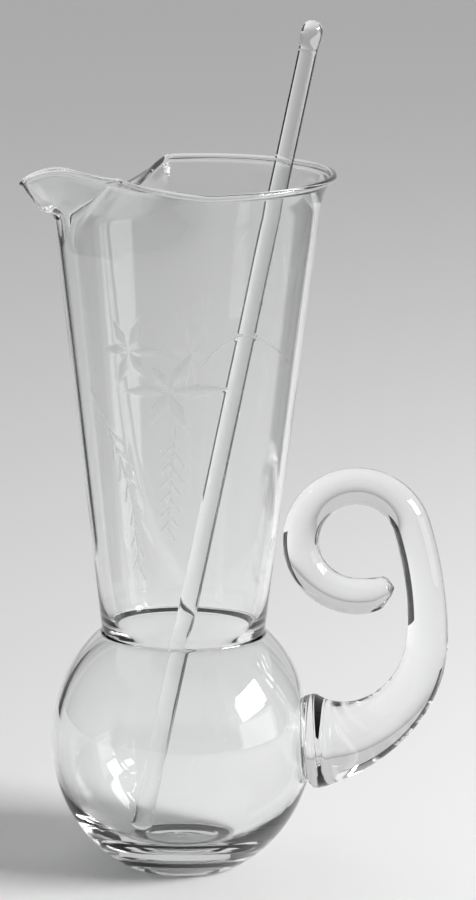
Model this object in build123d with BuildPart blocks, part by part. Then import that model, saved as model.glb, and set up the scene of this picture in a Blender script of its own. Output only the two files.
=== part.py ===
"""Cocktail pitcher: a blown bulb, a flaring neck with a pinched beak, a curled cane handle and a loose rod."""
import os
from math import acos, asin, cos, degrees, exp, hypot, radians, sin, sqrt

from build123d import *

os.makedirs("parts", exist_ok=True)

# Bulb, an upright ellipsoid cut flat at the foot
BULB_RADIUS = 50.5
BULB_HALF_HEIGHT = 55.0
FOOT_RADIUS = 23.5
BULB_WALL = 2.7
FLOOR_THICKNESS = 4.0

# Neck, a straight cone that rolls out at the rim
CREASE_RADIUS = 31.2
RIM_HEIGHT = 267.0
NECK_TOP_RADIUS = 51.8
NECK_WALL = 2.0
RIM_FLARE = 4.2
FLARE_HEIGHT = 10.0

# Lip, two cheeks pinched in to a narrow throat and a beak drawn out of the front
SPOUT_BEARING = 195.0
LIP_HEIGHT = 26.0
LIP_POWER = 2.0
SPOUT_REACH = 63.3
NEAR_THROAT_REACH = 29.0
FAR_THROAT_REACH = 21.5
THROAT_HALF_WIDTH = 6.6
NEAR_CHEEK_BULGE = 5.7
FAR_CHEEK_BULGE = 0.5
CORNER_BEARING = 90.0
VALLEY_BEARING = 21.0
THROAT_DIP = 1.3
BEAK_ARCH = 4.5
RIM_BACK_RISE = 2.4

# Handle, a round cane that sweeps up from its weld and curls round
CANE_RADIUS = 7.0
WELD_FLARE = 12.0
WELD_LENGTH = 27.0
SWEEP_RADIUS = 43.0
RISE_RADIUS = 143.0
RISE_ANGLE = 17.6
CURL_RADIUS = 21.6
CURL_ANGLE = 287.0
TAIL_LENGTH = 14.0
TAIL_NARROWING = 2.0

# Rod, leaning in the pitcher with its foot on the floor
ROD_RADIUS = 3.7
ROD_LENGTH = 323.5
ROD_KNOB_RADIUS = 4.1
ROD_KNOB_LENGTH = 11.0
ROD_FOOT_RADIUS = 4.4
ROD_FOOT_LENGTH = 9.0
ROD_FOOT_OFFSET = 16.0
ROD_FOOT_BEARING = 184.0
ROD_LEAN_BEARING = 43.5
ROD_CLEARANCE = 0.3

# Levels that follow from the sizes above
bulb_centre = BULB_HALF_HEIGHT * sqrt(1 - (FOOT_RADIUS / BULB_RADIUS) ** 2)
crease_height = bulb_centre + BULB_HALF_HEIGHT * sqrt(1 - (CREASE_RADIUS / BULB_RADIUS) ** 2)
lip_foot = RIM_HEIGHT - LIP_HEIGHT
lip_top = RIM_HEIGHT + BEAK_ARCH + NECK_WALL

# Bulb cavity, an upper and a lower half ellipse that share their width
cavity_radius = BULB_RADIUS - BULB_WALL
cavity_mouth = CREASE_RADIUS - NECK_WALL
cavity_upper = (crease_height - bulb_centre) / sqrt(1 - (cavity_mouth / cavity_radius) ** 2)
cavity_lower = bulb_centre - FLOOR_THICKNESS


def neck_radius(level):
    """Outer radius of the plain neck: a cone, plus a square-law roll-out below the rim."""
    cone = CREASE_RADIUS + (NECK_TOP_RADIUS - CREASE_RADIUS) * (level - crease_height) / (RIM_HEIGHT - crease_height)
    rolled = min(max((level - RIM_HEIGHT + FLARE_HEIGHT) / FLARE_HEIGHT, 0), 1)
    return cone + RIM_FLARE * rolled**2


def lip_half(level, throat_reach, cheek_bulge):
    """Half of the outer outline, along and across the spout, from the tip of the beak to the back of the mouth."""
    radius = neck_radius(level)
    blend = min(max((level - lip_foot) / LIP_HEIGHT, 0), 1) ** LIP_POWER
    rim = neck_radius(RIM_HEIGHT)
    corner = Vector(rim * cos(radians(CORNER_BEARING)), rim * sin(radians(CORNER_BEARING)))
    throat = Vector(throat_reach, THROAT_HALF_WIDTH)
    along = corner - throat
    outward = Vector(along.Y, -along.X).normalized()
    pinched = []
    for q in (1, 0.94, 0.78, 0.5, 0.22):
        side = Vector(throat_reach + (SPOUT_REACH - throat_reach) * q, THROAT_HALF_WIDTH * sqrt(1 - q**2))
        pinched.append((VALLEY_BEARING * (1 - q), side))
    for k in (0, 0.12, 0.35, 0.65, 0.88, 1):
        cheek = throat + along * k + outward * cheek_bulge * 4 * k * (1 - k)
        pinched.append((VALLEY_BEARING + (CORNER_BEARING - VALLEY_BEARING) * k, cheek))
    half = []
    for bearing, target in pinched:
        plain = Vector(radius * cos(radians(bearing)), radius * sin(radians(bearing)))
        half.append(plain + (target - plain) * blend)
    for share in (0.15, 0.4, 0.7, 1):
        bearing = radians(CORNER_BEARING + (180 - CORNER_BEARING) * share)
        half.append(Vector(radius * cos(bearing), radius * sin(bearing)))
    return half


def lip_outline(level, inset):
    """The whole outline at a level, moved inward by inset along its normal."""
    near = lip_half(level, NEAR_THROAT_REACH, NEAR_CHEEK_BULGE)
    far = lip_half(level, FAR_THROAT_REACH, FAR_CHEEK_BULGE)
    loop = [Vector(p.X, -p.Y) for p in reversed(far)] + near[1:-1]
    moved = []
    for before, here, after in zip(loop[-1:] + loop[:-1], loop, loop[1:] + loop[:1]):
        along = after - before
        moved.append(here - Vector(along.Y, -along.X).normalized() * inset)
    return moved


spout_plane = Plane.XY.rotated((0, 0, SPOUT_BEARING))

# Bulb: one closed outline, foot to crease outside and mouth to floor inside, turned about the upright axis
foot_turn = degrees(asin(-bulb_centre / BULB_HALF_HEIGHT))
crease_turn = degrees(asin((crease_height - bulb_centre) / BULB_HALF_HEIGHT))
mouth_turn = degrees(acos(cavity_mouth / cavity_radius))
bulb_middle = (0, bulb_centre)
with BuildPart() as bulb:
    with BuildSketch(Plane.XZ) as bulb_section:
        with BuildLine():
            outside = EllipticalCenterArc(
                bulb_middle, BULB_RADIUS, BULB_HALF_HEIGHT, foot_turn, arc_size=crease_turn - foot_turn
            )
            above = EllipticalCenterArc(bulb_middle, cavity_radius, cavity_upper, mouth_turn, arc_size=-mouth_turn)
            below = EllipticalCenterArc(bulb_middle, cavity_radius, cavity_lower, -90, arc_size=90)
            Line(outside @ 1, above @ 0)
            Polyline(below @ 0, (0, 0), outside @ 0)
        make_face()
    revolve(axis=Axis.Z)
bulb.part.label = "bulb"
export_step(bulb.part, "parts/bulb.step")

# Neck: outer skin less inner skin, each ruled from level to level, trimmed to the arched rim
lip_levels = [lip_foot + LIP_HEIGHT * share for share in (0, 0.12, 0.25, 0.4, 0.55, 0.7, 0.85, 1)]
neck_levels = [crease_height] + lip_levels + [lip_top]
with BuildPart() as neck:
    for inset, mode in ((0, Mode.ADD), (NECK_WALL, Mode.SUBTRACT)):
        for level in neck_levels:
            with BuildSketch(spout_plane.offset(level)):
                with BuildLine():
                    Spline(*lip_outline(level, inset), periodic=True)
                make_face()
        loft(ruled=True, mode=mode)
    rim_side = Plane(origin=(0, 0, RIM_HEIGHT), x_dir=spout_plane.x_dir, z_dir=-spout_plane.y_dir)
    with BuildSketch(rim_side) as rim_waste:
        with BuildLine():
            level_end = (NEAR_THROAT_REACH / 3, 0)
            beak_end = (SPOUT_REACH + LIP_HEIGHT, -LIP_HEIGHT)
            beak_top = (0.4 * NEAR_THROAT_REACH + 0.6 * SPOUT_REACH, BEAK_ARCH)
            Spline(level_end, (NEAR_THROAT_REACH, -THROAT_DIP), beak_top, (SPOUT_REACH, 0), beak_end,
                   tangents=((1, 0), (1, -1)))
            back_end = (-NECK_TOP_RADIUS - RIM_FLARE, RIM_BACK_RISE)
            Polyline(beak_end, (beak_end[0], 2 * LIP_HEIGHT), (back_end[0], 2 * LIP_HEIGHT), back_end, level_end)
        make_face()
    extrude(amount=2 * NECK_TOP_RADIUS, both=True, mode=Mode.SUBTRACT)
neck.part.label = "neck"
export_step(neck.part, "parts/neck.step")

# Handle: round sections along three tangent arcs, cut to the bulb it is welded to
with BuildLine(Plane.XZ) as cane_path:
    inlet = Line((cavity_radius, bulb_centre), (BULB_RADIUS, bulb_centre))
    sweep_up = JernArc(inlet @ 1, inlet % 1, SWEEP_RADIUS, 90)
    rise = JernArc(sweep_up @ 1, sweep_up % 1, RISE_RADIUS, RISE_ANGLE)
    curl = JernArc(rise @ 1, rise % 1, CURL_RADIUS, CURL_ANGLE)
cane = cane_path.wire()


def cane_radius(run):
    """Cane radius at a run along the path: an exponential weld flare, and a square-law taper at the tail."""
    flare = WELD_FLARE * exp(-(run - BULB_WALL) / WELD_LENGTH)
    tail = max((run - cane.length + TAIL_LENGTH) / TAIL_LENGTH, 0)
    return CANE_RADIUS + flare - TAIL_NARROWING * tail**2


with BuildPart() as handle:
    for share in (0, 0.02, 0.05, 0.1, 0.16, 0.24, 0.32, 0.4, 0.48, 0.56, 0.64, 0.72, 0.8, 0.88, 0.95, 1):
        with BuildSketch(Plane(origin=cane @ share, x_dir=(0, 1, 0), z_dir=cane % share)):
            Circle(cane_radius(share * cane.length))
    loft()
    with BuildSketch(Plane.XZ) as bulb_seat:
        with BuildLine():
            seat = EllipticalCenterArc(
                bulb_middle, BULB_RADIUS, BULB_HALF_HEIGHT, foot_turn, arc_size=crease_turn - foot_turn
            )
            Polyline(seat @ 1, (0, crease_height), (0, 0), seat @ 0)
        make_face()
    revolve(axis=Axis.Z, mode=Mode.SUBTRACT)
handle.part.label = "handle"
export_step(handle.part, "parts/handle.step")

# Rod: stands a clearance off the floor and off the neck where the roll-out starts
lean_height = RIM_HEIGHT - FLARE_HEIGHT
lean_reach = neck_radius(lean_height) - NECK_WALL - ROD_RADIUS - 2 * ROD_CLEARANCE
floor_shape = sqrt(1 - (ROD_FOOT_OFFSET / cavity_radius) ** 2)
floor_slope = cavity_lower * ROD_FOOT_OFFSET / cavity_radius**2 / floor_shape
foot_height = bulb_centre - cavity_lower * floor_shape + (ROD_FOOT_RADIUS + ROD_CLEARANCE) * hypot(1, floor_slope)
foot_bearing = radians(ROD_FOOT_BEARING)
lean_bearing = radians(ROD_LEAN_BEARING)
rod_foot = Vector(ROD_FOOT_OFFSET * cos(foot_bearing), ROD_FOOT_OFFSET * sin(foot_bearing), foot_height)
rod_lean = Vector(lean_reach * cos(lean_bearing), lean_reach * sin(lean_bearing), lean_height)
rod_axis = Axis(rod_foot, rod_lean - rod_foot)
rod_across = rod_axis.direction.cross(Vector(0, 0, 1)).normalized()
rod_side = Plane(origin=rod_foot, x_dir=rod_across, z_dir=rod_across.cross(rod_axis.direction))
rod_top = ROD_LENGTH - ROD_FOOT_RADIUS
with BuildPart() as stir_rod:
    with BuildSketch(rod_side) as rod_section:
        with BuildLine():
            foot_end = (0, -ROD_FOOT_RADIUS)
            foot_side = (ROD_FOOT_RADIUS, 0)
            shank_low = (ROD_RADIUS, ROD_FOOT_LENGTH)
            shank_high = (ROD_RADIUS, rod_top - ROD_KNOB_LENGTH)
            knob_side = (ROD_KNOB_RADIUS, rod_top - ROD_KNOB_RADIUS)
            knob_end = (0, rod_top)
            RadiusArc(foot_end, foot_side, -ROD_FOOT_RADIUS)
            Spline(foot_side, shank_low, tangents=((0, 1), (0, 1)))
            Line(shank_low, shank_high)
            Spline(shank_high, knob_side, tangents=((0, 1), (0, 1)))
            RadiusArc(knob_side, knob_end, -ROD_KNOB_RADIUS)
            Line(knob_end, foot_end)
        make_face()
    revolve(axis=rod_axis)
stir_rod.part.label = "stir_rod"
export_step(stir_rod.part, "parts/stir_rod.step")
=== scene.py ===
# %% [markdown]
# A cocktail pitcher of clear blown glass, with a curled glass handle and a loose stirring rod.
# The CAD model gives the frame: which pieces there are, where they stand and how the rod lifts.
# This lesson dresses that frame. Each glass piece is worked out as an array of points, because a
# formula gives the smooth, even walls that glass needs: every ripple in a clear wall shows.

import bpy
import numpy as np
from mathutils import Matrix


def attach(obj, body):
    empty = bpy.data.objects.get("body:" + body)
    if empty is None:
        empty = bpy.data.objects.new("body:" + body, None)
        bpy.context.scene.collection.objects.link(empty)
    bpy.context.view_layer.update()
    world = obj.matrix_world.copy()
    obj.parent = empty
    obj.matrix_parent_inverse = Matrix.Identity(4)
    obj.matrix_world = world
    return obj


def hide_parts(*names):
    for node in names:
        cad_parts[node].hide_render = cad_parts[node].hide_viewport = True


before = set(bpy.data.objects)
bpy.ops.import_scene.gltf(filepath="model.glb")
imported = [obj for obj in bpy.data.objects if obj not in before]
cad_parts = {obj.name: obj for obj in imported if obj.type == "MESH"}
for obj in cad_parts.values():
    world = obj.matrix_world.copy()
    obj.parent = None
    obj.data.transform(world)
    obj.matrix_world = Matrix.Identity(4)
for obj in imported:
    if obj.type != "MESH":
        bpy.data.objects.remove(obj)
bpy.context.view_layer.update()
MM = 0.001

# %% [markdown]
# Every piece here is a sheet of points in rows and columns, closed round on itself.
# Faces could be made one by one, but an array of vertex numbers gives them all at once:
# each face takes a number, its right neighbour, the one above that, and the one above itself.

# %% Helpers that turn arrays into meshes
def sheet_faces(index):
    """Quads of a sheet: each vertex number with its right, upper right and upper neighbour."""
    return np.stack([index[:-1, :-1], index[:-1, 1:], index[1:, 1:], index[1:, :-1]], -1).reshape(-1, 4)


def closed_round(index):
    """The same sheet with its first column repeated after the last, so that the seam closes."""
    return np.concatenate([index, index[:, :1]], 1)


def fan_faces(pole, ring):
    """Triangles from one pole vertex to each pair of neighbours on a ring, the ring taken in order."""
    return np.stack([np.full(len(ring), pole), ring, np.roll(ring, -1)], -1)


def make_piece(name, points, blocks, body, *nodes):
    """Millimetre points and blocks of face rows become one smooth mesh object that stands for CAD nodes."""
    counts = np.concatenate([np.full(len(block), block.shape[1]) for block in blocks])
    corners = np.concatenate([block.ravel() for block in blocks])
    mesh = bpy.data.meshes.new(name)
    mesh.vertices.add(len(points))
    mesh.vertices.foreach_set("co", (points * MM).ravel())
    mesh.loops.add(len(corners))
    mesh.loops.foreach_set("vertex_index", corners.astype(np.int32))
    mesh.polygons.add(len(counts))
    mesh.polygons.foreach_set("loop_start", (np.cumsum(counts) - counts).astype(np.int32))
    mesh.polygons.foreach_set("use_smooth", np.ones(len(counts), bool))
    mesh.update(calc_edges=True)
    changed = mesh.validate()
    piece = bpy.data.objects.new(name, mesh)
    bpy.context.scene.collection.objects.link(piece)
    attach(piece, body)
    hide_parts(*nodes)
    triangles = int((counts - 2).sum())
    print(name, len(points), "points,", triangles, "triangles, mended" if changed else "triangles")
    return piece


# %% [markdown]
# The vessel is one bubble of glass: a round bulb with a thick floor, a sharp crease where the
# glassblower necked it in, and a long cone that flares to the rim. A lathe-like profile gives all of it.
# The profile starts under the foot, climbs the outside, goes over the rim and comes down the inside,
# so the wall has two skins and light bends in it as in real glass.

# %% Sizes of the vessel
BULB_RADIUS, BULB_HALF_HEIGHT, FOOT_RADIUS = 50.5, 55.0, 23.5
BULB_WALL, FLOOR_THICKNESS, NECK_WALL = 2.7, 4.0, 2.0
CREASE_RADIUS, NECK_TOP_RADIUS, RIM_HEIGHT = 31.2, 51.8, 267.0
RIM_FLARE, FLARE_HEIGHT = 4.2, 10.0
CREASE_SWELL, LEDGE_DROP = 2.6, 0.95
# The rod stands on the CAD solid's floor. The bowl drawn here is a little fuller and has its own base.
CAVITY_POWER, BASE_THICKNESS = 2.3, 4.7

bulb_centre = BULB_HALF_HEIGHT * np.sqrt(1 - (FOOT_RADIUS / BULB_RADIUS) ** 2)
crease_height = bulb_centre + BULB_HALF_HEIGHT * np.sqrt(1 - (CREASE_RADIUS / BULB_RADIUS) ** 2)
cavity_radius, cavity_mouth = BULB_RADIUS - BULB_WALL, CREASE_RADIUS - NECK_WALL
ledge_height = crease_height - LEDGE_DROP
ledge_radius = cavity_mouth - CREASE_SWELL
cavity_upper = (ledge_height - bulb_centre) / np.sqrt(1 - (ledge_radius / cavity_radius) ** 2)
cavity_lower = bulb_centre - FLOOR_THICKNESS
print("bulb centre %.1f mm, crease %.1f mm above the table" % (bulb_centre, crease_height))


def neck_radius(level):
    """Outer radius of the neck: a cone from crease to rim, plus a square-law roll-out just below the rim."""
    climb = (level - crease_height) / (RIM_HEIGHT - crease_height)
    rolled = np.clip((level - RIM_HEIGHT + FLARE_HEIGHT) / FLARE_HEIGHT, 0, 1)
    return CREASE_RADIUS + (NECK_TOP_RADIUS - CREASE_RADIUS) * climb + RIM_FLARE * rolled**2


# %% [markdown]
# The lip is made while the rim is soft: two cheeks are pinched in with a tool until only a narrow throat
# is left, which holds the ice back, and the front is drawn out to a beak. The pinched rim is drawn as one
# outline, an ellipse for the beak, two bowed cheeks and the round back, and is then smoothed, because
# soft glass has no corners. Below the rim each level is a mix of that outline and the plain circle.

# %% The pinched outline of the rim
SPOUT_BEARING, VALLEY_BEARING = 195.0, 21.0
SPOUT_REACH, THROAT_HALF_WIDTH = 63.3, 6.6
NEAR_THROAT, FAR_THROAT = 27.5, 21.5
NEAR_CORNER, FAR_CORNER = 88.0, 92.0
NEAR_BOW, FAR_BOW = (25.5, 36.8), (10.7, 31.8)
SOFTENING, RIM_STEP = 1.2, 0.25


def pinched_half(away, throat_reach, corner_bearing, bow):
    """Along and across the spout on one side of it: an ellipse quarter over the beak, a quadratic Bezier
    over the cheek with the bow as its control point, and a circle behind."""
    rim = neck_radius(RIM_HEIGHT)
    quarter = np.radians(90 * np.clip(away / VALLEY_BEARING, 0, 1))
    t = np.clip((away - VALLEY_BEARING) / (corner_bearing - VALLEY_BEARING), 0, 1)
    corner = rim * np.cos(np.radians(corner_bearing)), rim * np.sin(np.radians(corner_bearing))
    throat = throat_reach, THROAT_HALF_WIDTH
    cheek = [(1 - t) ** 2 * throat[i] + 2 * t * (1 - t) * bow[i] + t**2 * corner[i] for i in (0, 1)]
    zones = [away < VALLEY_BEARING, away < corner_bearing]
    along = np.select(zones, [throat_reach + (SPOUT_REACH - throat_reach) * np.cos(quarter), cheek[0]],
                      rim * np.cos(np.radians(away)))
    across = np.select(zones, [THROAT_HALF_WIDTH * np.sin(quarter), cheek[1]], rim * np.sin(np.radians(away)))
    return along, across


def pinched_rim(bearing):
    """Along and across the spout for a bearing from it: two different halves, then blurred round the loop
    by a Gauss curve."""
    turn = np.arange(-180, 180, RIM_STEP)
    near = pinched_half(np.abs(turn), NEAR_THROAT, NEAR_CORNER, NEAR_BOW)
    far = pinched_half(np.abs(turn), FAR_THROAT, FAR_CORNER, FAR_BOW)
    along = np.where(turn < 0, far[0], near[0])
    across = np.where(turn < 0, -far[1], near[1])
    wave = np.fft.fftfreq(len(turn), RIM_STEP)
    blur = np.exp(-2 * (np.pi * wave * SOFTENING) ** 2)
    smooth = [np.real(np.fft.ifft(np.fft.fft(line) * blur)) for line in (along, across)]
    return [np.interp(bearing, turn, line, period=360) for line in smooth]


# %% How far each level is pinched
LIP_HEIGHT, LIP_POWER = 26.0, 2.0
CHIN_HEIGHT, CHIN_STEP, CHIN_SHARE, CHIN_EASE = 13.5, 3.4, 0.28, 0.08
BEAK_EDGE = 1.25
lip_foot, chin_foot = RIM_HEIGHT - LIP_HEIGHT, RIM_HEIGHT - CHIN_HEIGHT


def smooth_step(value):
    """Nought to one with level ends: three squares less two cubes of the clipped value."""
    held = np.clip(value, 0, 1)
    return held * held * (3 - 2 * held)


def pinch_share(level, bearing):
    """Share of the pinched outline at a level: a power of the way up for the cheeks, and for the beak a
    short step at its chin followed by a straight rise, mixed by a smooth step between the beak's middle
    and the valley."""
    cheeks = np.clip((level - lip_foot) / LIP_HEIGHT, 0, 1) ** LIP_POWER
    way = (level - chin_foot) / CHIN_HEIGHT
    chin = CHIN_SHARE * smooth_step((level - chin_foot) / CHIN_STEP)
    beak = chin + (1 - CHIN_SHARE) * (way + np.hypot(way, CHIN_EASE)) / 2
    off_beak = np.abs((np.asarray(bearing) + 180) % 360 - 180) / VALLEY_BEARING
    return cheeks + (np.clip(beak, 0, 1) - cheeks) * smooth_step(BEAK_EDGE * (1 - off_beak))


# %% [markdown]
# Seen from the side the rim isn't level: it dips at the throat, arches up over the beak and falls to the
# tip. The arch is a function of how far a point lies along the spout, and fades out below the lip. The whole
# rim also rises a little towards the back and the near side, as a rim trued by eye does.

# %% The arch of the rim
NEAR_DIP, FAR_DIP, BEAK_ARCH = -0.8, 3.9, 4.5
BACK_RISE, NEAR_RISE, CROWN_SHARE = 2.4, 0.8, 0.6
beak_crown = (1 - CROWN_SHARE) * NEAR_THROAT + CROWN_SHARE * SPOUT_REACH


def side_arch(along, throat_reach, dip):
    """Rise of one side of the rim: a smooth dip to the throat, a smooth climb to the crown, and a parabola
    down to the tip."""
    sunk = -dip * smooth_step(along / throat_reach)
    climb = (BEAK_ARCH + dip) * smooth_step((along - throat_reach) / (beak_crown - throat_reach))
    fall = BEAK_ARCH * np.clip((along - beak_crown) / (SPOUT_REACH - beak_crown), 0, None) ** 2
    return sunk + climb - fall


def rim_arch(along, across):
    """Rise of the rim: the near and the far side, mixed over the width of the beak."""
    near, far = side_arch(along, NEAR_THROAT, NEAR_DIP), side_arch(along, FAR_THROAT, FAR_DIP)
    return far + (near - far) * smooth_step(0.5 + across / (2 * THROAT_HALF_WIDTH))


def rim_lean(bearing):
    """Rise of the whole rim: half the back rise times one less the cosine of the bearing, plus the near
    rise times its sine."""
    angle = np.radians(bearing)
    return BACK_RISE / 2 * (1 - np.cos(angle)) + NEAR_RISE * np.sin(angle)


print("rim rises %.1f mm over the beak" % rim_arch(np.linspace(0, SPOUT_REACH, 200), 0).max())

# %% [markdown]
# The profile is a list of rows. Each row says how wide its circle is, how high it lies, and how far the skin
# stands off the middle of the wall. Corners that heat has softened, such as the crease and the ring inside
# it, are drawn as short curves with the corner as their control point. Under the foot a shallow hollow is
# ground out, where the glass was broken off the iron.

# %% Rows of the profile
HOLLOW_RADIUS, HOLLOW_DEPTH = 16.0, 2.6
FLAT_MARGIN, FOOT_EDGE = 2.0, 2.5
FOOT_TRIM, CREASE_TRIM, BOWL_END = 2.2, 1.3, 87.0


def eased_corner(start, corner, end, count):
    """A curve that leaves start towards corner and arrives at end from it: the quadratic Bezier formula."""
    t = np.linspace(0, 1, count)[:, None]
    return (1 - t) ** 2 * start + 2 * t * (1 - t) * corner + t**2 * end


def ellipse_run(radius, height, first, last, count):
    """Points of an upright half ellipse about the bulb's centre, between two angles in degrees from level:
    the radius times the cosine, and the height times the sine."""
    angle = np.radians(np.linspace(first, last, count))
    return np.stack([radius * np.cos(angle), bulb_centre + height * np.sin(angle)], -1)


def full_bowl(radius, depth, count):
    """A bowl a little fuller than a half ellipse, rim to floor: cosine and sine, each to the power of two
    over the cavity's power."""
    angle = np.radians(np.linspace(0, BOWL_END, count))
    return np.stack([radius * np.cos(angle) ** (2 / CAVITY_POWER),
                     bulb_centre - depth * np.sin(angle) ** (2 / CAVITY_POWER)], -1)


def rows(radius_height, stand_off=0.0):
    """Rows of three numbers: circle radius, height and stand-off from the middle of the wall."""
    line = np.asarray(radius_height, float)
    return np.column_stack([line, np.broadcast_to(stand_off, len(line))])


foot_angle = np.degrees(np.arcsin(-bulb_centre / BULB_HALF_HEIGHT))
crease_angle = np.degrees(np.arcsin((crease_height - bulb_centre) / BULB_HALF_HEIGHT))
flat_ring = [HOLLOW_RADIUS + FLAT_MARGIN, FOOT_RADIUS - FOOT_EDGE]
underside = np.append(np.linspace(0.1, 1, 10) * HOLLOW_RADIUS, flat_ring)
under_foot = np.stack([underside, HOLLOW_DEPTH * np.clip(1 - (underside / HOLLOW_RADIUS) ** 2, 0, None)], -1)
outer_bulb = ellipse_run(BULB_RADIUS, BULB_HALF_HEIGHT,
                         foot_angle + FOOT_TRIM, crease_angle - CREASE_TRIM, 58)
foot_edge = eased_corner(under_foot[-1], np.array([FOOT_RADIUS, 0.0]), outer_bulb[0], 7)[1:-1]
print("foot edge at", foot_edge[2].round(2), "outer bulb rows", len(outer_bulb))

# %% Rows of the neck and the lip
RIM_BEAD, BEAD_GAP = 1.2, 0.8
CREASE_EASE, RING_EASE, SWELL_FADE, MOUTH_TRIM = 1.5, 0.5, 5.0, 0.7
FINE_LOW, FINE_HIGH, FINE_STEP = 118.0, 226.0, 4.0


def neck_rows(levels, stand_off):
    """Rows of one skin of the neck: the circle in the middle of the wall, and the skin's distance from it."""
    return rows(np.stack([neck_radius(levels) - NECK_WALL / 2, levels], -1), stand_off)


def crease_swell(level):
    """Extra wall inside the crease, where the soft glass gathers: it dies away upwards exponentially."""
    return CREASE_SWELL * np.exp(-np.clip(level - crease_height, 0, None) / SWELL_FADE)


crease = np.array([CREASE_RADIUS, crease_height])
eased_height = crease_height + CREASE_EASE
above_crease = np.array([neck_radius(eased_height), eased_height])
outer_crease = eased_corner(outer_bulb[-1], crease, above_crease, 10)[1:]
low_levels = np.linspace(crease_height + 4, FINE_LOW, 7)[:-1]
fine_levels = np.arange(FINE_LOW, FINE_HIGH + 1, FINE_STEP)
high_levels = np.linspace(FINE_HIGH, lip_foot, 5)[1:]
lip_levels = np.linspace(lip_foot, RIM_HEIGHT - RIM_BEAD - BEAD_GAP, 26)[1:]
ring_top = ledge_height + RING_EASE
outer_levels = np.concatenate([low_levels, fine_levels, high_levels, lip_levels])
inner_levels = np.concatenate([lip_levels[::-1], np.linspace(lip_foot, crease_height + 16, 18),
                               np.linspace(crease_height + 14, ring_top, 12)])
roll = np.radians(np.linspace(-25, 205, 13))
bead_circle = [neck_radius(RIM_HEIGHT) - NECK_WALL / 2, RIM_HEIGHT]
bead_rows = rows(np.full((len(roll), 2), bead_circle), RIM_BEAD * np.cos(roll))

# %% Rows of the inside, and the whole profile
inner_crease = np.array([ledge_radius, ledge_height])
mouth_angle = np.degrees(np.arccos(ledge_radius / cavity_radius))
inner_top = np.array([neck_radius(ring_top) - NECK_WALL - crease_swell(ring_top), ring_top])
upper_cavity = ellipse_run(cavity_radius, cavity_upper, mouth_angle - MOUTH_TRIM, 0, 34)
lower_cavity = full_bowl(cavity_radius, bulb_centre - BASE_THICKNESS, 36)[1:]
inner_ring = eased_corner(inner_top, inner_crease, upper_cavity[0], 9)[1:-1]

inner_stand_off = -NECK_WALL / 2 - crease_swell(inner_levels)
profile = np.concatenate([
    rows(under_foot), rows(foot_edge), rows(outer_bulb), rows(outer_crease),
    neck_rows(outer_levels, NECK_WALL / 2), bead_rows, neck_rows(inner_levels, inner_stand_off),
    rows(inner_ring), rows(upper_cavity), rows(lower_cavity)])
bulb_row = len(under_foot) + len(foot_edge)
neck_row = bulb_row + len(outer_bulb) + len(outer_crease)
bead_row = neck_row + len(outer_levels)
rise = np.zeros(len(profile))
rise[bead_row:bead_row + len(roll)] = RIM_BEAD * (np.sin(roll) - 1)
print("profile rows", len(profile), "of which rim bead", len(roll))

# %% [markdown]
# Columns are bearings from the spout. They lie close together over the beak, where the outline turns sharply,
# and over the side that carries the cutting. The sheet is the profile carried round those bearings.

# %% The vessel's two skins
FINE_FIRST, FINE_LAST, CUT_COLUMN, BEAK_SPAN = 24.0, 140.0, 2.0, 48.0
BACK_START, BACK_EASE = 30.0, 40.0
beak_first = FINE_FIRST - BEAK_SPAN
beak_bearings = np.linspace(beak_first, FINE_FIRST, 41)[:-1]
cut_bearings = np.arange(FINE_FIRST, FINE_LAST, CUT_COLUMN)
back_bearings = np.linspace(FINE_LAST, beak_first + 360, 56)[:-1]
bearings = np.concatenate([beak_bearings, cut_bearings, back_bearings])


def outline_normal(along, across, bearing):
    """Outward unit normals of closed outlines: the slopes to both neighbours on the loop, each weighted by
    the other's step, turned by a right angle."""
    step = np.diff(np.concatenate([bearing[-1:] - 360, bearing, bearing[:1] + 360]))
    before, after = step[:-1], step[1:]

    def slope(line):
        """Change per degree at each point of the loop."""
        back = (line - np.roll(line, 1, -1)) / before
        ahead = (np.roll(line, -1, -1) - line) / after
        return (back * after + ahead * before) / (before + after)

    run, drift = slope(along), slope(across)
    length = np.hypot(run, drift)
    return drift / length, -run / length


def vessel_skin(profile, rise, bearing):
    """Points of the profile's rows at each bearing: circle mixed with the pinched rim, which is drawn in at
    the back to the level's own circle, moved along its normal, and lifted by the arch times the square of
    the way up the lip."""
    radius, level, stand_off = (profile[:, [i]] for i in range(3))
    pinch = pinch_share(level, bearing)
    angle = np.radians(bearing)
    rim_along, rim_across = pinched_rim(bearing)
    inward = NECK_WALL / 2
    rim_normal = outline_normal(rim_along[None], rim_across[None], bearing)
    middle_along = rim_along - inward * rim_normal[0][0]
    middle_across = rim_across - inward * rim_normal[1][0]
    off_spout = np.abs((bearing + 180) % 360 - 180)
    narrower = neck_radius(RIM_HEIGHT) - inward - radius
    shortfall = smooth_step((off_spout - BACK_START) / BACK_EASE) * narrower
    along = radius * np.cos(angle) * (1 - pinch) + (middle_along - shortfall * np.cos(angle)) * pinch
    across = radius * np.sin(angle) * (1 - pinch) + (middle_across - shortfall * np.sin(angle)) * pinch
    normal = outline_normal(along, across, bearing)
    along, across = along + stand_off * normal[0], across + stand_off * normal[1]
    way_up = np.clip((level - lip_foot) / LIP_HEIGHT, 0, 1)
    lifted = (rim_arch(rim_along, rim_across) + rim_lean(bearing)) * way_up**2
    height = level + lifted + rise[:, None]
    turn = np.radians(SPOUT_BEARING)
    return np.stack([along * np.cos(turn) - across * np.sin(turn),
                     along * np.sin(turn) + across * np.cos(turn), height], -1)


skin = vessel_skin(profile, rise, bearings)
coarse = np.arange(skin.shape[0] * skin.shape[1]).reshape(skin.shape[:2])
print("vessel sheet", skin.shape, "top %.1f mm" % skin[..., 2].max())

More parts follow.
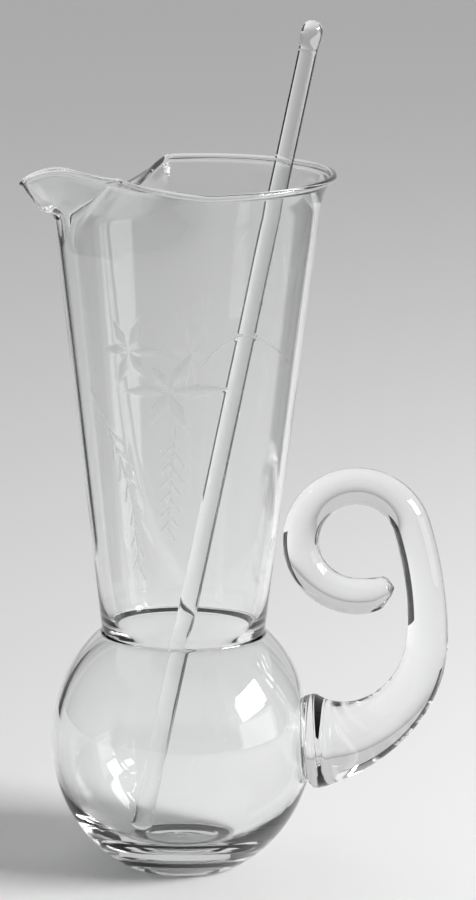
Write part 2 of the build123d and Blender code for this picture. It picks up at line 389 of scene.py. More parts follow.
# %% [markdown]
# The cutter held the neck against small turning wheels: broad cuts, pointed at both ends, make the petals
# of two star flowers, and hairline cuts make fern fronds and a tendril. Each cut is a V-shaped groove between
# two points. A bump map would only pretend, so this part of the sheet is made finer and the grooves are
# pressed into it. The places are millimetres on the unrolled neck: along from the side that faces the
# viewer, and up.

# %% The design of the cutting
FACING_BEARING = 79.7
BIG_PETAL, SMALL_PETAL, STEM_CUT, LEAFLET_CUT = 2.6, 2.1, 0.36, 0.42
FIRST_LEAFLET, LAST_LEAFLET = 0.16, 0.97
LEAFLET_SIZE, LEAFLET_SHRINK = 1.1, 0.5


def petals(centre, tips, width):
    """Rows of start, end and half width: one pointed cut from the flower's centre to each tip."""
    tips = np.asarray(tips, float)
    return np.column_stack([np.broadcast_to(centre, tips.shape), tips, np.full(len(tips), width)])


def stem(points, width):
    """Rows of hairline cuts that join the points in order."""
    points = np.asarray(points, float)
    return np.column_stack([points[:-1], points[1:], np.full(len(points) - 1, width)])


def leaflets(points, count, length, splay, width):
    """Rows of hairline cuts on either side of a stem by turns, each turned off the stem by the splay, and
    shorter in a straight line towards the tip."""
    points = np.asarray(points, float)
    reach = np.concatenate([[0], np.cumsum(np.hypot(*np.diff(points, axis=0).T))])
    spots = np.linspace(FIRST_LEAFLET, LAST_LEAFLET, count) * reach[-1]
    here = np.stack([np.interp(spots, reach, points[:, i]) for i in (0, 1)], -1)
    ahead = np.stack([np.interp(spots + 0.5, reach, points[:, i]) for i in (0, 1)], -1)
    heading = np.arctan2(*(ahead - here + [0, -1e-6]).T[::-1])
    side = np.where(np.arange(count) % 2, 1, -1)
    turned = heading + side * np.radians(splay)
    size = length * (LEAFLET_SIZE - LEAFLET_SHRINK * spots / reach[-1])
    ends = here + size[:, None] * np.stack([np.cos(turned), np.sin(turned)], -1)
    return np.column_stack([here, ends, np.full(count, width)])


big_star = petals((-6.2, 194.2), [(-25.4, 192.8), (17.6, 194.6), (3.1, 209.7), (-14.3, 179.0),
                                  (-12.9, 203.6), (1.2, 178.0)], BIG_PETAL)
small_star = petals((-22.1, 208.7), [(-29.3, 220.2), (-16.3, 223.6), (-33.0, 208.2), (-26.7, 193.8),
                                     (-14.5, 197.7), (-6.9, 208.8)], SMALL_PETAL)
left_frond = [(-41.9, 191.5), (-33.5, 180.7), (-26.3, 167.6), (-22.9, 157.8), (-19.9, 147.4), (-17.3, 122.2)]
middle_frond = [(-3.3, 180.7), (-4.3, 168.0), (-4.8, 160.0), (-6.0, 138.6)]
tendril = [(6.8, 203.8), (9.4, 207.8), (12.8, 210.8), (16.6, 213.4), (20.7, 214.8), (26.5, 214.2),
           (31.9, 211.3), (39.5, 206.6), (46.5, 201.1)]
cuts = np.concatenate([
    big_star, small_star,
    stem(left_frond, STEM_CUT), stem(middle_frond, STEM_CUT), stem(tendril, STEM_CUT),
    leaflets(left_frond, count=14, length=10.0, splay=22, width=LEAFLET_CUT),
    leaflets(middle_frond, count=12, length=8.0, splay=36, width=LEAFLET_CUT)])
print("cuts", len(cuts), "longest %.1f mm" % np.hypot(cuts[:, 2] - cuts[:, 0], cuts[:, 3] - cuts[:, 1]).max())

# %% Depth of the cutting over the fine sheet
CUT_SLOPE, CUT_LIMIT, WIDEST_SHARE = 0.13, 0.3, 0.46
HAIRLINE, HAIRLINE_ENDS, HAIRLINE_DEPTH = 0.5, 8, 0.12


def cut_depth(along, up):
    """Deepest cut at each place. Across a cut the depth falls in a straight line from its middle to its
    edge, and the half width grows in a straight line to the cut's widest place and falls in another to its
    tip. Hairlines keep their width nearly to both ends."""
    depth = np.zeros(along.shape)
    for first_along, first_up, last_along, last_up, half_width in cuts:
        run, climb = last_along - first_along, last_up - first_up
        length = np.hypot(run, climb)
        share = ((along - first_along) * run + (up - first_up) * climb) / length**2
        aside = np.abs((up - first_up) * run - (along - first_along) * climb) / length
        swell = np.minimum(share / WIDEST_SHARE, (1 - share) / (1 - WIDEST_SHARE))
        if half_width < HAIRLINE:
            swell = swell * HAIRLINE_ENDS
        reach = half_width * np.minimum(swell, 1)
        slope = max(CUT_SLOPE, HAIRLINE_DEPTH / half_width)
        depth = np.maximum(depth, np.clip((reach - aside) * slope, 0, CUT_LIMIT))
    return depth


FINE_COLUMNS, FINE_ROWS = 4, 6
fine_bearings = np.linspace(FINE_FIRST, FINE_LAST, FINE_COLUMNS * len(cut_bearings) + 1)
fine_heights = np.linspace(FINE_LOW, FINE_HIGH, FINE_ROWS * (len(fine_levels) - 1) + 1)
fine_radius = neck_radius(fine_heights)[:, None]
unrolled = fine_radius * np.radians(fine_bearings - FACING_BEARING)
depth = cut_depth(unrolled, np.broadcast_to(fine_heights[:, None], unrolled.shape))
angle = np.radians(fine_bearings + SPOUT_BEARING)
fine = np.stack([(fine_radius - depth) * np.cos(angle), (fine_radius - depth) * np.sin(angle),
                 np.broadcast_to(fine_heights[:, None], depth.shape)], -1)
print("fine sheet", fine.shape, "deepest cut %.2f mm" % depth.max())

# %% [markdown]
# The fine patch has to meet the coarse sheet without a crack. Every fourth column and sixth row of it are the
# coarse sheet's own vertices, and the coarse faces round it take the extra vertices on their shared edge.

# %% Set the fine patch into the sheet
low_row = neck_row + len(low_levels)
high_row = low_row + len(fine_levels) - 1
first_column, last_column = len(beak_bearings), len(beak_bearings) + len(cut_bearings)
patch = np.arange(fine.shape[0] * fine.shape[1]).reshape(fine.shape[:2]) + coarse.size
patch[::FINE_ROWS, ::FINE_COLUMNS] = coarse[low_row:high_row + 1, first_column:last_column + 1]

across = FINE_COLUMNS * np.arange(len(cut_bearings))[:, None] + np.arange(FINE_COLUMNS + 1)
upward = FINE_ROWS * np.arange(high_row - low_row)[:, None] + np.arange(FINE_ROWS + 1)
span, climb = slice(first_column, last_column), slice(low_row, high_row)
next_span, next_climb = slice(first_column + 1, last_column + 1), slice(low_row + 1, high_row + 1)
below = np.column_stack([coarse[low_row - 1, span], coarse[low_row - 1, next_span],
                         patch[0][across][:, ::-1]])
above = np.column_stack([patch[-1][across], coarse[high_row + 1, next_span], coarse[high_row + 1, span]])
before = np.column_stack([coarse[climb, first_column - 1], patch[:, 0][upward],
                          coarse[next_climb, first_column - 1]])
after = np.column_stack([coarse[climb, last_column + 1], coarse[next_climb, last_column + 1],
                         patch[:, -1][upward][:, ::-1]])
plain = np.ones((coarse.shape[0] - 1, coarse.shape[1]), bool)
plain[low_row:high_row, first_column - 1:last_column + 1] = False
plain[low_row - 1:high_row + 1, span] = False

# %% [markdown]
# The handle is melted on to the bulb, so there is no skin between the two. A wall left inside the weld would
# shine like a mirror. So a block of faces is left out of the bulb there, and the handle will grow from its
# border.

# %% Leave the weld open
WELD_ROWS, WELD_COLUMNS = 12, 14
belly_row = bulb_row + np.argmin(np.abs(outer_bulb[:, 1] - bulb_centre))
weld_low, weld_high = belly_row - WELD_ROWS, belly_row + WELD_ROWS
weld_first, weld_last = last_column, last_column + WELD_COLUMNS
plain[weld_low:weld_high, weld_first:weld_last] = False
weld_border = np.concatenate([
    coarse[weld_high, weld_first:weld_last], coarse[weld_high:weld_low:-1, weld_last],
    coarse[weld_low, weld_last:weld_first:-1], coarse[weld_low:weld_high, weld_first]])
border = skin.reshape(-1, 3)[weld_border]
print("weld border", len(border), "points from", border.min(0).round(1), "to", border.max(0).round(1))

# %% Close the poles
POLE_SINK, FOOT_POLE_HEIGHT, FROST_DEPTH = 0.05, 0.9, 0.05
top_pole, foot_pole = coarse.size + patch.size, coarse.size + patch.size + 1
poles = [[0, 0, skin[-1, 0, 2] - POLE_SINK], [0, 0, FOOT_POLE_HEIGHT]]
sheet = sheet_faces(closed_round(coarse))[plain.ravel()]
vessel_points = np.concatenate([skin.reshape(-1, 3), fine.reshape(-1, 3), poles])
vessel_points[patch.ravel()] = fine.reshape(-1, 3)
cut_mask = np.zeros(len(vessel_points))
cut_mask[patch.ravel()] = np.clip(depth / FROST_DEPTH, 0, 1).ravel()
vessel_blocks = [sheet, sheet_faces(patch), below, above, before, after,
                 fan_faces(top_pole, coarse[-1]), fan_faces(foot_pole, coarse[0][::-1])]
print("plain quads", len(sheet), "fine quads", len(sheet_faces(patch)))

# %% [markdown]
# The handle is a solid cane of glass, drawn out hot. It is pressed on to the bulb, where its root spreads,
# sweeps up and curls round to a tail that the shears nipped off. A curve with a bevel could give the tube,
# but not a root that follows the bulb. So a circle is carried along three arcs, and each line of the tube
# starts where it meets the bulb. The root is rounded where it was pressed on, with a crevice underneath.
# The headings, in degrees from level, hold at the cane's start, at the bulb's skin and after each arc.

# %% The cane's path
CANE_RADIUS, WELD_FLARE, WELD_LENGTH = 7.0, 12.0, 27.0
SWEEP_RADIUS, RISE_RADIUS, CURL_RADIUS = 43.0, 143.0, 21.6
HEADINGS = np.array([0, 0, 90, 107.6, 394.6])
TAIL_LENGTH, TAIL_NARROWING = 14.0, 2.0
ROOT_START, ROOT_ROUNDING, ROOT_UNDERCUT, ROUNDING_LENGTH = -1.5, 3.0, 6.0, 3.2
arc_radii = np.array([SWEEP_RADIUS, RISE_RADIUS, CURL_RADIUS])
runs = np.concatenate([[0, BULB_WALL], BULB_WALL + np.cumsum(arc_radii * np.radians(np.diff(HEADINGS)[1:]))])
cane_length = runs[-1]


def cane_path(run):
    """Place and heading along the cane: a short straight, then three arcs, each centred to the left of its
    start."""
    heading = np.radians(np.interp(run, runs, HEADINGS))
    centre = np.array([BULB_RADIUS, bulb_centre + SWEEP_RADIUS])
    place = np.stack([cavity_radius + run, np.full(np.shape(run), bulb_centre)], -1)
    for number, radius in enumerate(arc_radii):
        turn = np.radians(HEADINGS[number + 1])
        if number:
            shift = arc_radii[number - 1] - radius
            centre = centre + shift * np.array([np.sin(turn), -np.cos(turn)])
        on_arc = centre + radius * np.stack([np.sin(heading), -np.cos(heading)], -1)
        place = np.where((run >= runs[number + 1])[..., None], on_arc, place)
    return place, heading


def cane_radius(run, turn):
    """Cane radius: an even cane, plus a flare that dies away exponentially from the weld, less a rounding of
    the root by a Gauss curve, which is deeper underneath, and a square-law taper at the tail."""
    tail = np.clip((run - cane_length + TAIL_LENGTH) / TAIL_LENGTH, 0, None)
    depth = ROOT_ROUNDING + ROOT_UNDERCUT * (1 - np.cos(turn)) / 2
    rounding = depth * np.exp(-(((run - ROOT_START) / ROUNDING_LENGTH) ** 2))
    flare = WELD_FLARE * np.exp(-(run - BULB_WALL) / WELD_LENGTH)
    return CANE_RADIUS + flare - rounding - TAIL_NARROWING * tail**2


def cane_skin(run, turn):
    """Points of the cane: the path plus a circle across it, its cosine along the path's left-hand normal and
    its sine along Y."""
    place, heading = cane_path(run)
    radius = cane_radius(run, turn)
    side = radius * np.cos(turn)
    return np.stack([place[..., 0] - side * np.sin(heading), radius * np.sin(turn),
                     place[..., 1] + side * np.cos(heading)], -1)


print("cane length %.1f mm" % cane_length)

# %% Where each line of the cane meets the bulb
SEARCH_FROM, SEARCH_TO, HALVINGS = -10.0, 30.0, 40
cane_turns = np.unwrap(np.arctan2(border[:, 1], border[:, 2] - bulb_centre))


def over_bulb(points):
    """Above nought outside the bulb's skin: squared shares of its half axes, less one."""
    level = (points[..., 2] - bulb_centre) / BULB_HALF_HEIGHT
    return (points[..., 0] ** 2 + points[..., 1] ** 2) / BULB_RADIUS**2 + level**2 - 1


inside = np.full(len(cane_turns), SEARCH_FROM)
outside = np.full(len(cane_turns), SEARCH_TO)
for halving in range(HALVINGS):
    middle = (inside + outside) / 2
    clear = over_bulb(cane_skin(middle, cane_turns)) > 0
    inside = np.where(clear, inside, middle)
    outside = np.where(clear, middle, outside)
weld_run = outside
print("cane leaves the bulb between runs %.1f and %.1f mm" % (weld_run.min(), weld_run.max()))

# %% [markdown]
# The tail was nipped off with shears while hot, so its end isn't a clean disc: it is rounded at the edge and
# has a few flat, glinting scars. Each scar is a plane, and points beyond a plane are moved back on to it.

# %% The handle
ROOT_SHARE, TAIL_SHARE, SCAR_SHARE = 0.12, 0.94, 0.9
TAIL_BULGE = 1.6
tail_scars = [((0.93, -0.30, 0.20), 1.2), ((0.72, 0.45, -0.53), 2.6), ((0.80, 0.38, 0.46), 2.3),
              ((0.60, -0.62, -0.50), 3.0), ((0.86, 0.05, -0.51), 2.3)]
shares = np.concatenate([
    np.linspace(0, ROOT_SHARE, 24)[:-1], np.linspace(ROOT_SHARE, TAIL_SHARE, 150)[:-1],
    np.linspace(TAIL_SHARE, 1, 26)])
cane_runs = weld_run + (cane_length - weld_run) * shares[:, None]
cane = cane_skin(cane_runs, np.broadcast_to(cane_turns, cane_runs.shape))
tail_end, tail_heading = cane_path(np.array([cane_length]))
tail_centre = np.array([tail_end[0, 0], 0, tail_end[0, 1]])
tail_ways = np.linspace(1, 0, 12)[1:-1, None, None]
tail_cap = tail_centre + (cane[-1] - tail_centre) * tail_ways
tail_forward = np.array([np.cos(tail_heading[0]), 0, np.sin(tail_heading[0])])
tail_cap = tail_cap + tail_forward * TAIL_BULGE * np.sqrt(1 - tail_ways**2)
cane = np.concatenate([cane, tail_cap])
near_tail = np.concatenate([shares > SCAR_SHARE, np.ones(len(tail_cap), bool)])[:, None]
for direction, distance in tail_scars:
    direction = np.array(direction) / np.linalg.norm(direction)
    past = np.clip((cane - tail_centre) @ direction - distance, 0, None)
    cane = cane - (past * near_tail)[..., None] * direction
print("handle rows", cane.shape)

# %% Join the handle to the bulb
def on_bulb(points):
    """The same points moved along X on to the bulb's skin: the root of its squared radius at that level less
    the square of Y."""
    left = 1 - ((points[..., 2] - bulb_centre) / BULB_HALF_HEIGHT) ** 2
    forward = np.sqrt(left * BULB_RADIUS**2 - points[..., 1] ** 2)
    return np.concatenate([forward[..., None], points[..., 1:]], -1)


collar_ways = np.array([0.3, 0.55, 0.75, 0.9, 0.97])[:, None, None]
collar = on_bulb(border + (cane[0] - border) * collar_ways)
tube = np.concatenate([collar, cane])
tube_index = len(vessel_points) + np.arange(tube.shape[0] * tube.shape[1]).reshape(tube.shape[:2])
tail_tip = len(vessel_points) + tube_index.size
collar_index = np.concatenate([weld_border[None], tube_index[:len(collar) + 1]])
collar_block = sheet_faces(closed_round(collar_index))[:, ::-1]
cane_blocks = [sheet_faces(closed_round(tube_index[len(collar):]))[:, ::-1],
               fan_faces(tail_tip, tube_index[-1][::-1])]
glass_points = np.concatenate([vessel_points, tube.reshape(-1, 3), tube[-1:].mean(1)])
glass_blocks = [*vessel_blocks, collar_block, *cane_blocks]
print("handle faces", sum(len(block) for block in cane_blocks), "collar faces", len(collar_block))

# %% Make the vessel
# The patch borrows coarse vertices and the weld is open, so points that no face uses are left out here.
used = np.zeros(len(glass_points), bool)
used[np.concatenate([block.ravel() for block in glass_blocks])] = True
renumber = np.cumsum(used) - 1
vessel = make_piece("vessel", glass_points[used], [renumber[block] for block in glass_blocks],
                    "vessel", "bulb", "neck", "handle")
cut_layer = vessel.data.attributes.new("cut", "FLOAT", "POINT")
whole_mask = np.pad(cut_mask, (0, len(used) - len(cut_mask)))
cut_layer.data.foreach_set("value", whole_mask[used].astype(np.float32))
finish_index = np.concatenate([np.full(len(block), number >= len(vessel_blocks) + 1)
                               for number, block in enumerate(glass_blocks)])
vessel.data.polygons.foreach_set("material_index", finish_index.astype(np.int32))

# %% [markdown]
# The stirring rod is a drawn glass rod with both ends melted round: a small knob to hold and a blunt foot.
# It stands in the pitcher and leans on the rim. It is a profile turned about a leaning line.

# %% The stirring rod
ROD_RADIUS, ROD_LENGTH = 3.7, 323.5
ROD_KNOB_RADIUS, ROD_KNOB_LENGTH = 4.1, 11.0
ROD_FOOT_RADIUS, ROD_FOOT_LENGTH = 4.4, 9.0
ROD_FOOT_OFFSET, ROD_FOOT_BEARING, ROD_LEAN_BEARING, ROD_CLEARANCE = 16.0, 184.0, 43.5, 0.3
KNOB_EASE, ROD_RING_HEIGHT, ROD_RING_WIDTH, ROD_RING_BELOW = 6.0, 0.05, 0.55, 0.6

floor_shape = np.sqrt(1 - (ROD_FOOT_OFFSET / cavity_radius) ** 2)
floor_slope = cavity_lower * ROD_FOOT_OFFSET / cavity_radius**2 / floor_shape
floor_height = bulb_centre - cavity_lower * floor_shape
foot_height = floor_height + (ROD_FOOT_RADIUS + ROD_CLEARANCE) * np.hypot(1, floor_slope)
lean_height = RIM_HEIGHT - FLARE_HEIGHT
lean_reach = neck_radius(lean_height) - NECK_WALL - ROD_RADIUS - 2 * ROD_CLEARANCE


def turned_place(reach, bearing, level):
    """A place at a reach from the upright axis, a bearing about it in degrees, and a level."""
    return np.array([reach * np.cos(np.radians(bearing)), reach * np.sin(np.radians(bearing)), level])


rod_foot = turned_place(ROD_FOOT_OFFSET, ROD_FOOT_BEARING, foot_height)
rod_way = turned_place(lean_reach, ROD_LEAN_BEARING, lean_height) - rod_foot
rod_way = rod_way / np.linalg.norm(rod_way)
print("rod foot at", rod_foot.round(2), "leaning %.1f degrees" % np.degrees(np.arccos(rod_way[2])))

# %% Turn the rod's profile about that line
ROD_SIDES = 48
rod_across = np.cross(rod_way, [0, 0, 1]) / np.linalg.norm(np.cross(rod_way, [0, 0, 1]))
rod_other = np.cross(rod_way, rod_across)
rod_top = ROD_LENGTH - ROD_FOOT_RADIUS


def rod_profile():
    """Radius against run: a round foot, a shank that narrows from it by a smooth step, a faint ring by a
    Gauss curve and a round knob."""
    ball = np.radians(np.linspace(-86, 0, 14))
    foot = np.stack([ROD_FOOT_RADIUS * np.cos(ball), ROD_FOOT_RADIUS * np.sin(ball)], -1)
    run = np.concatenate([np.linspace(0.4, 12, 16), np.linspace(14, rod_top - 16, 110),
                          np.linspace(rod_top - 15, rod_top - ROD_KNOB_RADIUS, 40)])
    radius = ROD_RADIUS + (ROD_FOOT_RADIUS - ROD_RADIUS) * smooth_step(1 - run / ROD_FOOT_LENGTH)
    past_knob = run - rod_top + ROD_KNOB_LENGTH
    radius = radius + (ROD_KNOB_RADIUS - ROD_RADIUS) * smooth_step(past_knob / KNOB_EASE)
    ring = ROD_RING_HEIGHT * np.exp(-(((past_knob + ROD_RING_BELOW) / ROD_RING_WIDTH) ** 2))
    dome = -ball[::-1]
    knob = np.stack([ROD_KNOB_RADIUS * np.cos(dome), rod_top - ROD_KNOB_RADIUS * (1 - np.sin(dome))], -1)
    return np.concatenate([foot, np.stack([radius + ring, run], -1), knob[1:]])


rod_line = rod_profile()
rod_turns = np.radians(np.linspace(0, 360, ROD_SIDES, endpoint=False))
spokes = np.cos(rod_turns)[:, None] * rod_across + np.sin(rod_turns)[:, None] * rod_other
rod = rod_foot + rod_line[:, 1, None, None] * rod_way + rod_line[:, 0, None, None] * spokes
rod_index = np.arange(rod.shape[0] * rod.shape[1]).reshape(rod.shape[:2])
rod_ends = [rod_foot - ROD_FOOT_RADIUS * rod_way, rod_foot + rod_top * rod_way]
stir_rod = make_piece("mixing_rod", np.concatenate([rod.reshape(-1, 3), rod_ends]), [
    sheet_faces(closed_round(rod_index)),
    fan_faces(rod_index.size, rod_index[0][::-1]), fan_faces(rod_index.size + 1, rod_index[-1])],
    "stir_rod", "stir_rod")

# %% [markdown]
# All pieces are clear soda glass. A plain glass shader looks computed, so each finish has what hand work
# leaves: long faint streaks from drawing, a slow ripple from blowing, and thin smears that dull the gloss in
# places. The wheel leaves the grooves grey, so the cutting's own attribute raises the roughness there.

# %% Glass finishes
GLASS_TINT, GLASS_INDEX = (0.985, 0.992, 0.988, 1), 1.51
STREAK_SCALE, STREAK_DEPTH = 60, 0.0004
RIPPLE_SCALE, RIPPLE_DEPTH = 28, 0.002
SMEAR_SCALE, SMEAR_FROM, SMEAR_TO, SMEAR_ROUGHNESS = 35, 0.56, 0.75, 0.015
CUT_ROUGHNESS = 0.55
EVEN, ALONG_DRAW, SMEARED = (1, 1, 1), (1, 1, 0.05), (1, 1, 0.6)


def ramp_node(nodes, low, high, bottom=0.0, top=1.0):
    """A straight ramp: a value from low to high becomes one from bottom to top, and is held beyond them."""
    ramp = nodes.new("ShaderNodeMapRange")
    for name, value in zip(("From Min", "From Max", "To Min", "To Max"), (low, high, bottom, top)):
        ramp.inputs[name].default_value = value
    return ramp


def glass_finish(name, streak, stretch, ripple, cut_layer=None):
    """Clear glass whose bump is a stretched streak noise plus a slow ripple, and whose roughness is a smear
    noise, raised where the cutting's layer says so."""
    finish = bpy.data.materials.new(name)
    finish.use_nodes = True
    nodes, links = finish.node_tree.nodes, finish.node_tree.links
    shader = nodes["Principled BSDF"]
    shader.inputs["Base Color"].default_value = GLASS_TINT
    shader.inputs["Transmission Weight"].default_value = 1.0
    shader.inputs["IOR"].default_value = GLASS_INDEX
    place = nodes.new("ShaderNodeTexCoord")

    def noise(scale, stretch, detail):
        """A noise pattern on the piece's own place, stretched along its axes."""
        mapping = nodes.new("ShaderNodeMapping")
        mapping.inputs["Scale"].default_value = stretch
        pattern = nodes.new("ShaderNodeTexNoise")
        pattern.inputs["Scale"].default_value = scale
        pattern.inputs["Detail"].default_value = detail
        links.new(place.outputs["Object"], mapping.inputs["Vector"])
        links.new(mapping.outputs["Vector"], pattern.inputs["Vector"])
        return pattern.outputs["Fac"]

    streaks = nodes.new("ShaderNodeBump")
    streaks.inputs["Strength"].default_value = streak
    streaks.inputs["Distance"].default_value = STREAK_DEPTH
    links.new(noise(STREAK_SCALE, stretch, 2), streaks.inputs["Height"])
    waves = nodes.new("ShaderNodeBump")
    waves.inputs["Strength"].default_value = ripple
    waves.inputs["Distance"].default_value = RIPPLE_DEPTH
    links.new(noise(RIPPLE_SCALE, EVEN, 1), waves.inputs["Height"])
    links.new(streaks.outputs["Normal"], waves.inputs["Normal"])
    links.new(waves.outputs["Normal"], shader.inputs["Normal"])

    smear = ramp_node(nodes, SMEAR_FROM, SMEAR_TO, 0.0, SMEAR_ROUGHNESS)
    links.new(noise(SMEAR_SCALE, SMEARED, 4), smear.inputs["Value"])
    rough = smear.outputs["Result"]
    if cut_layer:
        cut = nodes.new("ShaderNodeAttribute")
        cut.attribute_name = cut_layer
        frost = nodes.new("ShaderNodeMath")
        frost.operation = "MULTIPLY_ADD"
        frost.inputs[1].default_value = CUT_ROUGHNESS
        links.new(cut.outputs["Fac"], frost.inputs[0])
        links.new(rough, frost.inputs[2])
        rough = frost.outputs[0]
    links.new(rough, shader.inputs["Roughness"])
    return finish


blown = glass_finish("blown_glass", streak=0.10, stretch=ALONG_DRAW, ripple=0.05, cut_layer="cut")
vessel.data.materials.append(blown)
vessel.data.materials.append(glass_finish("drawn_cane_glass", streak=0.05, stretch=EVEN, ripple=0.05))
stir_rod.data.materials.append(glass_finish("drawn_rod_glass", streak=0.06, stretch=ALONG_DRAW, ripple=0.04))
print("finishes", [m.name for m in bpy.data.materials if "glass" in m.name])

# %% [markdown]
# The pitcher stands on a pale, plain table that runs out far behind it. Its colour is painted a little paler
# away from the object, as painted light where the lamps fall off, and painted darker round the foot of the
# window, as painted shade over the lamp's bright pool, so the light on it stays even.

# %% Table
floor_mesh = bpy.data.meshes.new("table")
around = np.radians(np.arange(0, 360, 5.0))
floor_rings = np.array([0.05, 0.5, 1.5, 4.0, 12.0])[:, None]
flat = np.zeros((len(floor_rings), len(around)))
disc = np.stack([floor_rings * np.cos(around), floor_rings * np.sin(around), flat], -1)
disc_index = np.arange(flat.size).reshape(flat.shape)
disc_faces = [*sheet_faces(closed_round(disc_index))[:, ::-1].tolist(), disc_index[0].tolist()]
floor_mesh.from_pydata(disc.reshape(-1, 3).tolist(), [], disc_faces)
table = bpy.data.objects.new("table", floor_mesh)
bpy.context.scene.collection.objects.link(table)
print("table", len(disc_faces), "faces")

# %% Table paint, with painted light and painted shade
TABLE_NEAR, TABLE_FAR, TABLE_REACH = 0.76, 0.88, 3.2
WINDOW_FOOT, DIM_FROM, DIM_TO, DIM_SHARE = (1.4, -0.3, 0), 0.3, 1.15, 0.15
TABLE_ROUGHNESS, TABLE_SHINE = 0.7, 0.2


def grey_ramp(nodes, first, last):
    """A colour ramp from one grey to another."""
    ramp = nodes.new("ShaderNodeValToRGB")
    for element, grey in zip(ramp.color_ramp.elements, (first, last)):
        element.color = (grey, grey, grey, 1)
    return ramp


table_paint = bpy.data.materials.new("pale_table")
table_paint.use_nodes = True
nodes, links = table_paint.node_tree.nodes, table_paint.node_tree.links
shader = nodes["Principled BSDF"]
shader.inputs["Roughness"].default_value = TABLE_ROUGHNESS
shader.inputs["Specular IOR Level"].default_value = TABLE_SHINE
place = nodes.new("ShaderNodeTexCoord")
# Painted light: the table's grey grows paler with distance from the object, where the lamps give less light.
reach = nodes.new("ShaderNodeVectorMath")
reach.operation = "LENGTH"
fade = ramp_node(nodes, 0.0, TABLE_REACH)
shade = grey_ramp(nodes, TABLE_NEAR, TABLE_FAR)
links.new(place.outputs["Object"], reach.inputs[0])
links.new(reach.outputs["Value"], fade.inputs["Value"])
links.new(fade.outputs["Result"], shade.inputs["Fac"])
# Painted shade: the grey is darkened round the foot of the right window, where that lamp's light falls
# brightest.
apart = nodes.new("ShaderNodeVectorMath")
apart.operation = "DISTANCE"
apart.inputs[1].default_value = WINDOW_FOOT
painted_window_shade = ramp_node(nodes, DIM_FROM, DIM_TO, DIM_SHARE, 1.0)
painted_table_grey = nodes.new("ShaderNodeVectorMath")
painted_table_grey.operation = "MULTIPLY"
links.new(place.outputs["Object"], apart.inputs[0])
links.new(apart.outputs["Value"], painted_window_shade.inputs["Value"])
links.new(shade.outputs["Color"], painted_table_grey.inputs[0])
links.new(painted_window_shade.outputs["Result"], painted_table_grey.inputs[1])
links.new(painted_table_grey.outputs["Vector"], shader.inputs["Base Color"])
floor_mesh.materials.append(table_paint)
print("table paint", TABLE_NEAR, "to", TABLE_FAR, "over", TABLE_REACH, "m")

# %% [markdown]
# Glass shows its surroundings more than itself. The room is pale behind and darker on the viewer's side, and
# that is what draws the thin dark lines along the edges. A large soft window stands high on the right, with
# a weak one low beside it.

# %% Room
ROOM_DARK, ROOM_PALE, ROOM_FRONT, ROOM_BACK = 0.16, 0.58, -0.6, 0.3
world = bpy.data.worlds.new("room")
bpy.context.scene.world = world
world.use_nodes = True
nodes, links = world.node_tree.nodes, world.node_tree.links
sky = nodes["Background"]
way = nodes.new("ShaderNodeTexCoord")
split = nodes.new("ShaderNodeSeparateXYZ")
depth_ramp = ramp_node(nodes, ROOM_FRONT, ROOM_BACK)
tone = grey_ramp(nodes, ROOM_DARK, ROOM_PALE)
links.new(way.outputs["Generated"], split.inputs["Vector"])
links.new(split.outputs["Y"], depth_ramp.inputs["Value"])
links.new(depth_ramp.outputs["Result"], tone.inputs["Fac"])
links.new(tone.outputs["Color"], sky.inputs["Color"])
print("room grey", ROOM_DARK, "in front,", ROOM_PALE, "behind")


# %% Lamps
def set_facing(holder, place, back, roll=0.0):
    """Puts an object at a place with its own Z along back, level but for a roll, in radians: the three axes
    are worked out by cross products and read as turns about X, Y and Z."""
    back = np.array(back) / np.linalg.norm(back)
    level = np.cross([0, 0, 1], back) / np.linalg.norm(np.cross([0, 0, 1], back))
    upright = np.cross(back, level)
    right = level * np.cos(roll) + upright * np.sin(roll)
    up = upright * np.cos(roll) - level * np.sin(roll)
    holder.location = place
    holder.rotation_euler = (np.arctan2(up[2], back[2]), np.arcsin(-right[2]), np.arctan2(right[1], right[0]))
    bpy.context.scene.collection.objects.link(holder)


def window_lamp(name, place, aim, width, height, power, roll=0.0):
    """A rectangular lamp at a place in metres that faces the aim point."""
    lamp = bpy.data.lights.new(name, "AREA")
    lamp.shape = "RECTANGLE"
    lamp.size, lamp.size_y, lamp.energy = width, height, power
    set_facing(bpy.data.objects.new(name, lamp), place, np.subtract(place, aim), roll)
    print(name, "at", place, power, "W")


window_lamp("right_window", place=(1.46, -0.30, 0.80), aim=(0, 0, 0.1), width=0.86, height=0.45,
            power=40, roll=0.08)
window_lamp("low_window", place=(1.27, -0.29, 0.22), aim=(0, 0, 0.05), width=0.9, height=0.42, power=2.2)

# %% [markdown]
# A photographer of glass sets dark cards just outside the picture. The edge of a clear wall bends light from
# the side, so a dark card there draws the edge as a dark line. The camera itself doesn't see the cards.

# %% Dark cards
BEHIND_BEARING, CARD_POSTS, CARD_LIFT, CARD_GREY = 94, 12, 0.002, 0.02
card_paint = bpy.data.materials.new("dark_card")
card_paint.use_nodes = True
shader = card_paint.node_tree.nodes["Principled BSDF"]
shader.inputs["Base Color"].default_value = (CARD_GREY, CARD_GREY, CARD_GREY, 1)
shader.inputs["Roughness"].default_value = 1.0


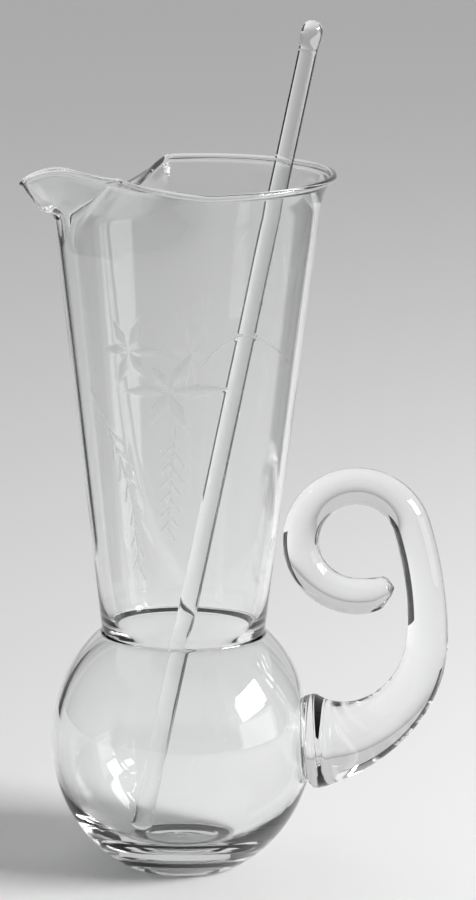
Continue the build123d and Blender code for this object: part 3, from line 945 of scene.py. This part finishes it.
def dark_card(name, first, last, distance, height):
    """An upright curved card: an arc between two bearings, in degrees left of straight behind, carried up."""
    bearing = np.radians(BEHIND_BEARING + np.linspace(first, last, CARD_POSTS))
    ring = np.stack([distance * np.cos(bearing), distance * np.sin(bearing), np.zeros(CARD_POSTS)], -1)
    points = np.stack([ring + [0, 0, CARD_LIFT], ring + [0, 0, height]])
    index = np.arange(2 * CARD_POSTS).reshape(2, CARD_POSTS)
    mesh = bpy.data.meshes.new(name)
    mesh.from_pydata(points.reshape(-1, 3).tolist(), [], sheet_faces(index).tolist())
    mesh.materials.append(card_paint)
    card = bpy.data.objects.new(name, mesh)
    bpy.context.scene.collection.objects.link(card)
    card.visible_camera = card.visible_diffuse = card.visible_shadow = False
    print(name, "from", first, "to", last, "degrees")


dark_card("left_wall_card", first=48, last=122, distance=1.06, height=0.95)
dark_card("left_back_card", first=32, last=46, distance=0.40, height=0.34)
dark_card("right_card", first=-76, last=-44, distance=0.40, height=0.24)

# %% [markdown]
# The camera stands where the photographer stood, well back with a long lens, a little above the rim and
# turned four degrees towards the handle, so the near rim shows below the far one.

# %% Camera
VIEW_AZIMUTH, VIEW_DROP, VIEW_ROLL = np.radians(4.0), np.radians(12.7), np.radians(0.6)
VIEW_DISTANCE, VIEW_ASIDE, VIEW_LEVEL = 1.634, 0.0202, 0.1625
VIEW_SENSOR, VIEW_LENS = 36.0, 172.0
camera_data = bpy.data.cameras.new("camera")
camera_data.sensor_width, camera_data.lens = VIEW_SENSOR, VIEW_LENS
camera = bpy.data.objects.new("camera", camera_data)
aside = np.array([np.cos(VIEW_AZIMUTH), np.sin(VIEW_AZIMUTH), 0])
back = np.array([aside[1] * np.cos(VIEW_DROP), -aside[0] * np.cos(VIEW_DROP), np.sin(VIEW_DROP)])
set_facing(camera, aside * VIEW_ASIDE + back * VIEW_DISTANCE + [0, 0, VIEW_LEVEL], back, VIEW_ROLL)
bpy.context.scene.camera = camera
print("camera at", [round(v, 3) for v in camera.location])

# %% [markdown]
# A ray that meets this vessel passes many skins, so it is given enough bounces to come out again. Otherwise
# the glass would turn dark where walls lie behind one another.

# %% Light paths through glass
GLASS_BOUNCES, MIRROR_BOUNCES = 32, 12
scene = bpy.context.scene
scene.view_settings.view_transform = "Standard"
scene.cycles.max_bounces = scene.cycles.transmission_bounces = GLASS_BOUNCES
scene.cycles.glossy_bounces = MIRROR_BOUNCES
print("bounces", GLASS_BOUNCES)
